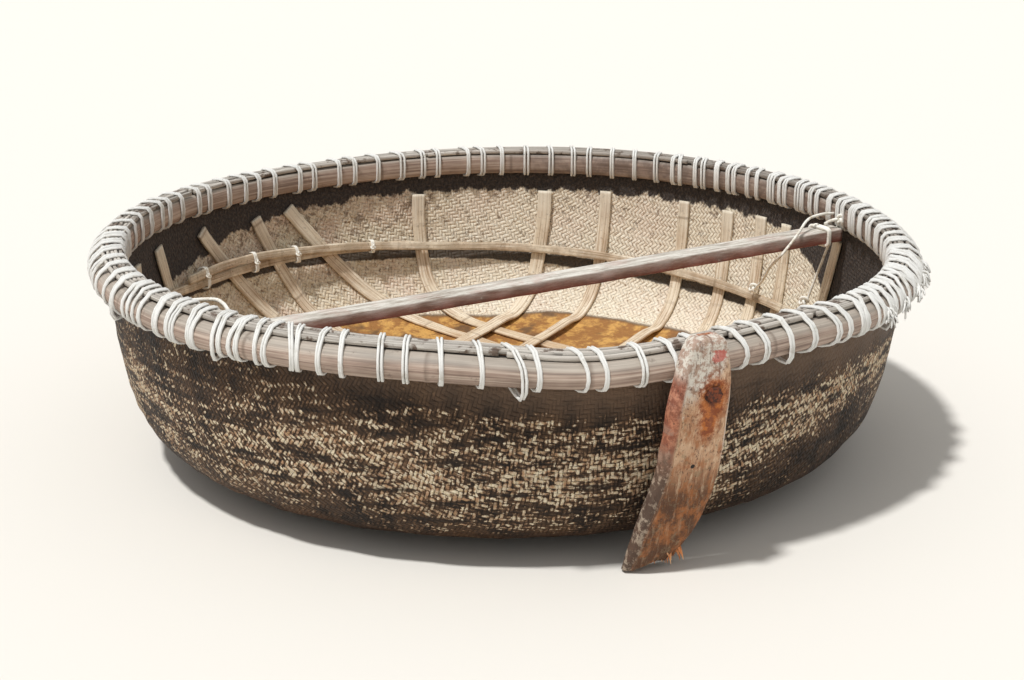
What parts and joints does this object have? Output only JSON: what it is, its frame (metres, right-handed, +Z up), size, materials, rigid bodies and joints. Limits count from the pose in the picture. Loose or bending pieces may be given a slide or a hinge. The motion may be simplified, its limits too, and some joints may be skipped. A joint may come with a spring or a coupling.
{
  "type": "coracle",
  "caption": "Round basket boat of woven, tarred bamboo with a lashed rim, inside ribs, a wall hoop, a cord-hung thwart and a curved stern board.",
  "frame": {"origin": "on the bowl's axis, at the underside of its flat bottom", "axes": "+Z up, out of the bowl; +X along the thwart, towards its deeper end; the stern board stands on the -Y side"},
  "size_m": [1.7974, 1.8377, 0.484],
  "materials": {
    "tarred_weave": "matte",
    "rim_bamboo": "matte",
    "lath_bamboo": "matte",
    "white_cord": "matte",
    "painted_timber": "matte",
    "rusty_iron": "matte"
  },
  "bodies": {
    "root": {"hull_shell": "tarred_weave", "rim_outer_hoop": "rim_bamboo", "rim_inner_hoop": "rim_bamboo", "rim_cap_rods": "rim_bamboo", "cross_rib_1": "lath_bamboo", "cross_rib_2": "lath_bamboo", "cross_rib_3": "lath_bamboo", "cross_rib_4": "lath_bamboo", "cross_rib_5": "lath_bamboo", "cross_rib_6": "lath_bamboo", "long_rib_1": "lath_bamboo", "long_rib_2": "lath_bamboo", "long_rib_3": "lath_bamboo", "long_rib_4": "lath_bamboo", "long_rib_5": "lath_bamboo", "long_rib_6": "lath_bamboo", "long_rib_7": "lath_bamboo", "wall_hoop": "lath_bamboo", "wall_hoop_ties": "white_cord", "thwart": "painted_timber", "thwart_tie_left": "white_cord", "thwart_tie_right": "white_cord", "stern_board": "painted_timber", "stern_board_bolt": "rusty_iron"}
  },
  "joints": []
}
